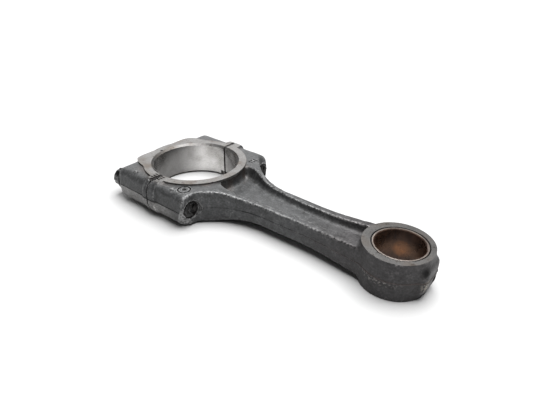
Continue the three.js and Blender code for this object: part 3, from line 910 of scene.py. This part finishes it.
# The starting notches of the break, a notch for a bearing shell's lug on the far side of the bore, three
# tally strokes beside the near split, and the chips along its edge. The cap has the same, mirrored.
START_NOTCH = 0.0009
LUG_NOTCH_X = (0.0005, 0.0040)
LUG_NOTCH_DEPTH = 0.001
LUG_NOTCH_TOP = -0.0082
TALLY_X = (0.0012, 0.0046)
TALLY_HALF_WIDTH = 0.00045
TALLY_DEPTH = 0.0005
TALLY_Y = (-0.0324, -0.0344, -0.0364)
CHIPS = [
    # x, y, radius
    (0.0004, -0.0316, 0.0010),
    (0.0000, -0.0334, 0.0013),
    (0.0005, -0.0352, 0.0015),
    (0.0001, -0.0371, 0.0014),
    (0.0009, -0.0386, 0.0016),
    (0.0003, 0.0330, 0.0008),
    (0.0001, 0.0352, 0.0009),
    (0.0004, 0.0384, 0.0012),
]


def mark_and_chip(piece, side):
    """Cuts the lug notch, the tally strokes and the chips on one side of the split."""
    for y in (-BORE_RADIUS, BORE_RADIUS):
        bpy.ops.object.select_all(action="DESELECT")
        bpy.ops.mesh.primitive_cube_add(size=START_NOTCH, location=(0, y, 0), rotation=(0, 0, math.pi / 4))
        bpy.context.object.scale = (1, 1, 0.04 / START_NOTCH)
        bpy.ops.object.transform_apply(location=True, rotation=True, scale=True)
        cut(piece, finish_with(bpy.context.object, dirt_and_painted_shade))
    low, high = sorted(side * x for x in LUG_NOTCH_X)
    notch_low = (low, BORE_RADIUS - 0.0012, -HALF_THICK - 0.001)
    notch_high = (high, BORE_RADIUS + LUG_NOTCH_DEPTH, LUG_NOTCH_TOP)
    notch = add_block("lug_notch", notch_low, notch_high)
    cut(piece, finish_with(notch, machined_steel))
    low, high = sorted(side * x for x in TALLY_X)
    for y in TALLY_Y:
        stroke_low = (low, y - TALLY_HALF_WIDTH, HALF_THICK - TALLY_DEPTH)
        stroke = add_block("tally_stroke", stroke_low, (high, y + TALLY_HALF_WIDTH, 0.015))
        cut(piece, finish_with(stroke, dirt_and_painted_shade))
    for x, y, radius in CHIPS:
        cut(piece, add_scoop(side * x, y, HALF_THICK, radius))
    return piece


mark_and_chip(rod, 1)
break_apart(rod, 1)


# The die leaves a small round pip standing on each near boss, in a shallow dish that is finished near-black
# as painted shadow round the pip.
PIP_RADIUS = 0.0014
PIP_BASE_Z = 0.0108
DISH_RADIUS = 0.0050
DISH_CENTRE_Z = BOSS_TOP + 0.0045


def add_pip(x, y):
    """One pip on its own."""
    pip = add_ball(x, y, PIP_BASE_Z, PIP_RADIUS, 20, 12)
    bpy.ops.object.transform_apply(location=True, rotation=True, scale=True)
    return finish_with(pip, ground_steel)


cut(rod, add_scoop(0.0186, -0.0388, DISH_CENTRE_Z, DISH_RADIUS))
join(rod, add_pip(0.0190, -0.0384))

# The mark of a knock-out pin, a ring groove round one dimple, and three short grooves on the far boss.
MARK_PLACE = (0.02465, -0.0335)
MARK_RADIUS = 0.0045
MARK_GROOVE = 0.0011
mark_floor = BOSS_TOP - 0.0010
mark_groove = add_drum("mark_groove", MARK_RADIUS, mark_floor, BOSS_TOP + 0.002, MARK_PLACE, sides=64)
core_radius = MARK_RADIUS - MARK_GROOVE
mark_core = add_drum("mark_core", core_radius, BOSS_TOP - 0.002, BOSS_TOP + 0.003, MARK_PLACE, sides=64)
cut(rod, finish_with(cut(mark_groove, mark_core), dirt_and_painted_shade))
cut(rod, add_scoop(*MARK_PLACE, BOSS_TOP + 0.0004, 0.0015))
for i in range(3):
    x, y = 0.0284, 0.0244 + 0.0023 * i
    groove = add_block("die_groove", (x, y, BOSS_TOP - 0.0007), (x + 0.0042, y + 0.0011, BOSS_TOP + 0.002))
    cut(rod, finish_with(groove, dirt_and_painted_shade))


def settle(piece, body, node):
    """Moves a finished piece to its place in the frame and onto its body, in place of its plain solid."""
    pick(piece)
    piece.location = (SPLIT_X, 0, MID_Z)
    bpy.ops.object.transform_apply(location=True, rotation=True, scale=True)
    bpy.ops.object.shade_smooth_by_angle(angle=math.radians(32))
    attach(piece, body)
    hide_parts(node)


settle(rod, "rod", "rod_body")

# ---------------------------------------------------------------------------------------------------------
# The bearing cap. The other half of the same forging, broken off across the bore. Its bosses carry the bolt
# heads, its back is a flat web over the bore, and its whole face is milled level with the rod's.
# ---------------------------------------------------------------------------------------------------------

CAP_BACK_X = cap_low.x - SPLIT_X
CAP_BOSS_X = -0.0335
CAP_SECTIONS = [
    # x, half width
    (CAP_BACK_X, 0.0230),
    (-0.0335, 0.0252),
    (-0.0300, 0.0276),
    (-0.0255, 0.0290),
    (-0.0200, 0.0300),
    (-0.0120, 0.0325),
    (0.0040, 0.0330),
]


def add_cap_web(name, low, high):
    """The web over the bore between two heights, its back flat and its back corners rounded."""
    web = draw_out(name, [(x, -w, w, low, high) for x, w in CAP_SECTIONS])
    corner = lambda edge: runs_along(edge, 2) and middle_of(edge).x < CAP_BACK_X + 1e-5
    return round_edges(web, 0.005, corner, 6)


cap = add_cap_web("big_end_cap", -BOSS_TOP, BOSS_TOP)
join(
    cap,
    add_drum("ring_forging", RING_FORGING_RADIUS, -BOSS_TOP, BOSS_TOP),
    add_boss("near_cap_boss", PAST_SPLIT, CAP_BOSS_X, -1, 0.003),
    add_boss("far_cap_boss", PAST_SPLIT, CAP_BOSS_X, 1, 0.003),
)
forge(cap, 0.0012)
join(
    cap,
    add_ear("near_cap_ear", CAP_EAR_X, -1, EAR_TOP, NEAR_EAR_ROUND),
    add_ear("far_cap_ear", CAP_EAR_X, 1, EAR_TOP, FAR_EAR_ROUND),
)
skin_again(cap)
finish_with(cap, forged_skin)
mill_faces(cap)
for side in (1, -1):
    low, high = sorted((side * LAND_ROOT, side * HALF_THICK))
    join(
        cap,
        finish_with(add_drum("ring_land", RING_RADIUS, low, high, sides=160), machined_steel),
        finish_with(add_cap_web("web_land", low, high), machined_steel),
    )
cut(cap, add_bore_tool(BORE_RADIUS, BORE_CHAMFER, 0))
CAP_HOLE_RADIUS = 0.0052
SEAT_RADIUS = 0.008
drill_for_bolts(cap, CAP_HOLE_RADIUS, SEAT_RADIUS, 0.01, CAP_BOSS_X + SEAT_DEPTH)
mark_and_chip(cap, -1)
cut(cap, add_scoop(-0.0311, -0.0051, HALF_THICK, 0.0009))
break_apart(cap, -1)
cut(cap, add_scoop(-0.0188, -0.0383, DISH_CENTRE_Z, DISH_RADIUS))
join(cap, add_pip(-0.0184, -0.0379))
settle(cap, "cap", "bearing_cap")

# ---------------------------------------------------------------------------------------------------------
# The two cap bolts. Cold-headed steel with a black finish: a flanged head with twelve points, a waisted
# shank and a rolled thread that screws into the rod and shows its end at the shoulder.
# ---------------------------------------------------------------------------------------------------------

HEAD_END_X = bolt_low.x - SPLIT_X
THREAD_END_X = bolt_high.x - SPLIT_X
UNDER_HEAD_X = CAP_BOSS_X + SEAT_DEPTH - 0.0001
FLANGE_TOP_X = UNDER_HEAD_X - 0.0022
FLANGE_RADIUS = 0.0078
HEAD_RADIUS = 0.0067
HEAD_POINTS = 12
THREAD_RADIUS = 0.005
THREAD_PITCH = 0.0015
THREAD_DEPTH = 0.00085
THREAD_START_X = 0.003

flange = add_bar("cap_bolt", FLANGE_RADIUS, FLANGE_TOP_X, UNDER_HEAD_X, sides=72)
choose(flange, "VERT", lambda vert: vert.co.x < FLANGE_TOP_X + 1e-6)
flange_taper = 0.95
bpy.ops.transform.resize(value=(1, flange_taper, flange_taper), center_override=(FLANGE_TOP_X, 0, 0))
close(flange)
round_edges(flange, 0.0003, lambda edge: not runs_along(edge, 0) and edge.calc_face_angle() > 0.6, 3)

head = add_bar("bolt_head", HEAD_RADIUS, HEAD_END_X, UNDER_HEAD_X - 0.0005, sides=2 * HEAD_POINTS)
notch = math.cos(math.radians(30)) / math.cos(math.radians(15))


def in_notch(vert):
    """True at the corners of the head's outline that lie between two points."""
    turn = math.atan2(vert.co.z, vert.co.y) / (math.pi / HEAD_POINTS)
    return round(turn) % 2 == 1


choose(head, "VERT", in_notch)
bpy.ops.transform.resize(value=(1, notch, notch), center_override=(0, 0, 0))
close(head)
round_edges(head, 0.00025, lambda edge: runs_along(edge, 0), 2)
rounding = add_bar("head_rounding", HEAD_RADIUS * 1.02, HEAD_END_X, UNDER_HEAD_X, sides=72)
round_edges(rounding, 0.0014, lambda edge: on_end(edge, HEAD_END_X), 5)
combine(head, rounding, "INTERSECT")
dimple = add_bar("head_dimple", 0.0032, HEAD_END_X - 0.001, HEAD_END_X + 0.0008, sides=48)
choose(dimple, "VERT", lambda vert: vert.co.x > HEAD_END_X)
bpy.ops.transform.resize(value=(1, 0.7, 0.7), center_override=(0, 0, 0))
close(dimple)
cut(head, dimple)

# One flank pair of the thread is wound round the axis, and the coil's ends are closed.
bpy.ops.object.select_all(action="DESELECT")
bpy.ops.mesh.primitive_plane_add(size=THREAD_PITCH, location=(THREAD_START_X, 0, THREAD_RADIUS))
thread = bpy.context.object
bpy.ops.object.transform_apply(location=True, rotation=True, scale=True)
choose(thread, "VERT", lambda vert: vert.co.y > 0)
bpy.ops.mesh.delete(type="VERT")
choose(thread, "VERT", lambda vert: True)
bpy.ops.transform.resize(value=(1, 0, 1), center_override=(0, 0, 0))
bpy.ops.mesh.subdivide(number_cuts=5)
crest = THREAD_START_X
choose(thread, "VERT", lambda vert: abs(vert.co.x - crest) < THREAD_PITCH * 0.2)
bpy.ops.transform.translate(value=(0, 0, -THREAD_DEPTH))
choose(thread, "VERT", lambda vert: 0.2 < abs(vert.co.x - crest) / THREAD_PITCH < 0.4)
bpy.ops.transform.translate(value=(0, 0, -THREAD_DEPTH * 0.1))
close(thread)
turns = math.ceil((THREAD_END_X - THREAD_START_X) / THREAD_PITCH) + 1
apply_modifier(
    thread,
    "SCREW",
    axis="X",
    angle=math.tau,
    screw_offset=THREAD_PITCH,
    iterations=turns,
    steps=40,
    render_steps=40,
    use_merge_vertices=True,
    merge_threshold=0.000005,
)
for end in (-1, 1):
    coil_end = lambda edge: (middle_of(edge).x - THREAD_START_X) * end > 0.01 * end
    choose(thread, "EDGE", lambda edge: edge.is_boundary and coil_end(edge))
    bpy.ops.mesh.edge_face_add()
    close(thread)
choose(thread, "FACE", lambda face: True)
bpy.ops.mesh.normals_make_consistent(inside=False)
close(thread)
blank_ends = (THREAD_START_X + THREAD_PITCH, THREAD_END_X)
blank = add_bar("thread_blank", THREAD_RADIUS, *blank_ends, sides=64)
round_edges(blank, 0.0009, lambda edge: any(on_end(edge, end_x) for end_x in blank_ends), 1)
combine(thread, blank, "INTERSECT")

WAIST_RADIUS = 0.0042
bolt = join(
    flange,
    head,
    add_bar("pilot", THREAD_RADIUS, UNDER_HEAD_X - 0.0005, UNDER_HEAD_X + 0.006, sides=64),
    add_bar("waist", WAIST_RADIUS, UNDER_HEAD_X, THREAD_START_X + 0.006, sides=64),
    add_bar("dowel", THREAD_RADIUS, -0.006, 0.0025, sides=64),
    thread,
)

# The black finish is thin: grey where spanners and threads have rubbed it, oily and glossy in the roots.
black_oxide, shader, place = start_finish("black_oxide", 0.7)
shader.inputs["Specular IOR Level"].default_value = 0.35
edges = add_node(black_oxide, "NewGeometry", {}).outputs["Pointiness"]
smear = add_noise(black_oxide, place, 400, 4)
colour = add_ramp(black_oxide, smear, (0.3, grey(0.006)), (0.7, grey(0.026)))
rubbed = add_ramp(black_oxide, edges, (0.52, BLACK), (0.62, grey(0.7)))
colour = mix_in(black_oxide, rubbed, colour, (*grey(0.16), 1))
colour_by(black_oxide, shader, colour)
set_by_ramp(black_oxide, shader, "Roughness", smear, (0.3, grey(0.28)), (0.7, grey(0.5)))
roughen(black_oxide, shader, smear, 0.0001, 0.5)
finish_with(bolt, black_oxide)

# The bare end of the thread is pitted and packed with dirt.
END_SKIN = 0.00012
dirty_end = add_bar("dirty_end", 0.0045, THREAD_END_X - END_SKIN, THREAD_END_X + 0.002)
cut(bolt, finish_with(dirty_end, dirt_and_painted_shade))
for y, z in ((0.0012, 0.0014), (-0.0018, 0.0004), (0.0008, -0.0020)):
    cut(bolt, add_scoop(THREAD_END_X + 0.0002, y, z, 0.0011))

for body, y in (("bolt_near", -BOLT_Y), ("bolt_far", BOLT_Y)):
    pick(bolt)
    bpy.ops.object.duplicate(linked=False)
    copy = bpy.context.object
    copy.name = "flanged_" + body
    choose(copy, "VERT", lambda vert: True)
    bpy.ops.transform.translate(value=(0, y, 0))
    close(copy)
    settle(copy, body, "cap_" + body)
bpy.data.objects.remove(bolt)

# ---------------------------------------------------------------------------------------------------------
# The small-end bush. A ring of steel lined with bronze, pressed into the eye, bored to size and chamfered
# at both mouths. Its bronze is browned by burnt oil, and worn bright along the middle.
# ---------------------------------------------------------------------------------------------------------

BUSH_RADIUS = (bush_high.x - bush_low.x) / 2
BUSH_BORE_RADIUS = 0.014
BUSH_HALF_LENGTH = (bush_high.z - bush_low.z) / 2
bush_wall = BUSH_RADIUS - BUSH_BORE_RADIUS

# One wall's section is spun round the bore.
bpy.ops.object.select_all(action="DESELECT")
wall_x = EYE_BORE_X + BUSH_BORE_RADIUS + bush_wall / 2
bpy.ops.mesh.primitive_plane_add(size=1, location=(wall_x, 0, 0), rotation=(math.pi / 2, 0, 0))
bush = bpy.context.object
bush.name = "bronze_bush"
bush.scale = (bush_wall, BUSH_HALF_LENGTH * 2, 1)
bpy.ops.object.transform_apply(location=True, rotation=True, scale=True)
choose(bush, "VERT", lambda vert: vert.co.x < wall_x)
bpy.ops.mesh.bevel(offset=0.0005, segments=1, affect="VERTICES")
choose(bush, "VERT", lambda vert: vert.co.x > wall_x)
bpy.ops.mesh.bevel(offset=0.0003, segments=2, affect="VERTICES")
choose(bush, "FACE", lambda face: True)
bpy.ops.mesh.spin(steps=144, angle=math.tau, center=(EYE_BORE_X, 0, 0), axis=(0, 0, 1))
choose(bush, "VERT", lambda vert: True)
bpy.ops.mesh.remove_doubles(threshold=0.000002)
bpy.ops.mesh.normals_make_consistent(inside=False)
close(bush)

WORN_PATCH = (SPLIT_X + EYE_BORE_X - 0.0032, 0.0136, MID_Z - 0.0008)
bush_bronze, shader, place = start_finish("browned_bronze", 0.5)
from_bore = far_from_axis(bush_bronze, place, SPLIT_X + EYE_BORE_X)
through_wall = between(bush_bronze, from_bore, BUSH_BORE_RADIUS, BUSH_RADIUS)
lining = add_ramp(bush_bronze, through_wall, (0.26, WHITE), (0.32, BLACK))
# Painted shade: the outer rim of the bush's ends is painted near-black, as the shadow in the gap round the
# bush.
painted_seam_shade = add_ramp(bush_bronze, through_wall, (0.74, BLACK), (0.80, WHITE))
streak_map = add_node(bush_bronze, "Mapping", {"Vector": place, "Scale": (1, 1, 0.12)}).outputs[0]
streaks = add_noise(bush_bronze, streak_map, 500, 4)
burnt = add_noise(bush_bronze, place, 120, 4)
bronze = add_ramp(bush_bronze, streaks, (0.35, (0.075, 0.045, 0.034)), (0.7, (0.12, 0.07, 0.047)))
soot = add_ramp(bush_bronze, burnt, (0.38, grey(0.6)), (0.65, WHITE))
bronze = dim(bush_bronze, bronze, soot)
worn_band = between(bush_bronze, away_from_parting(bush_bronze, place), 0.0005, 0.0065)
worn = add_ramp(bush_bronze, worn_band, (0.0, grey(0.26)), (1.0, BLACK))
bronze = mix_in(bush_bronze, worn, bronze, (0.33, 0.16, 0.07, 1))
backing = add_ramp(bush_bronze, burnt, (0.35, (0.17, 0.14, 0.125)), (0.7, (0.27, 0.23, 0.2)))
patch = close_to(bush_bronze, place, WORN_PATCH, 0.0020, 0.0060)
patch = dim(bush_bronze, patch, add_ramp(bush_bronze, burnt, (0.4, grey(0.3)), (0.6, WHITE)))
bronze = mix_in(bush_bronze, patch, bronze, (0.42, 0.17, 0.06, 1))
colour = mix_in(bush_bronze, lining, backing, bronze)
colour_by(bush_bronze, shader, mix_in(bush_bronze, painted_seam_shade, colour, (0.012, 0.01, 0.009, 1)))
set_by_ramp(bush_bronze, shader, "Roughness", burnt, (0.3, grey(0.24)), (0.7, grey(0.36)))
roughen(bush_bronze, shader, burnt, 0.00003, 0.3)
finish_with(bush, bush_bronze)
settle(bush, "rod", "small_end_bush")

low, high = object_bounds()
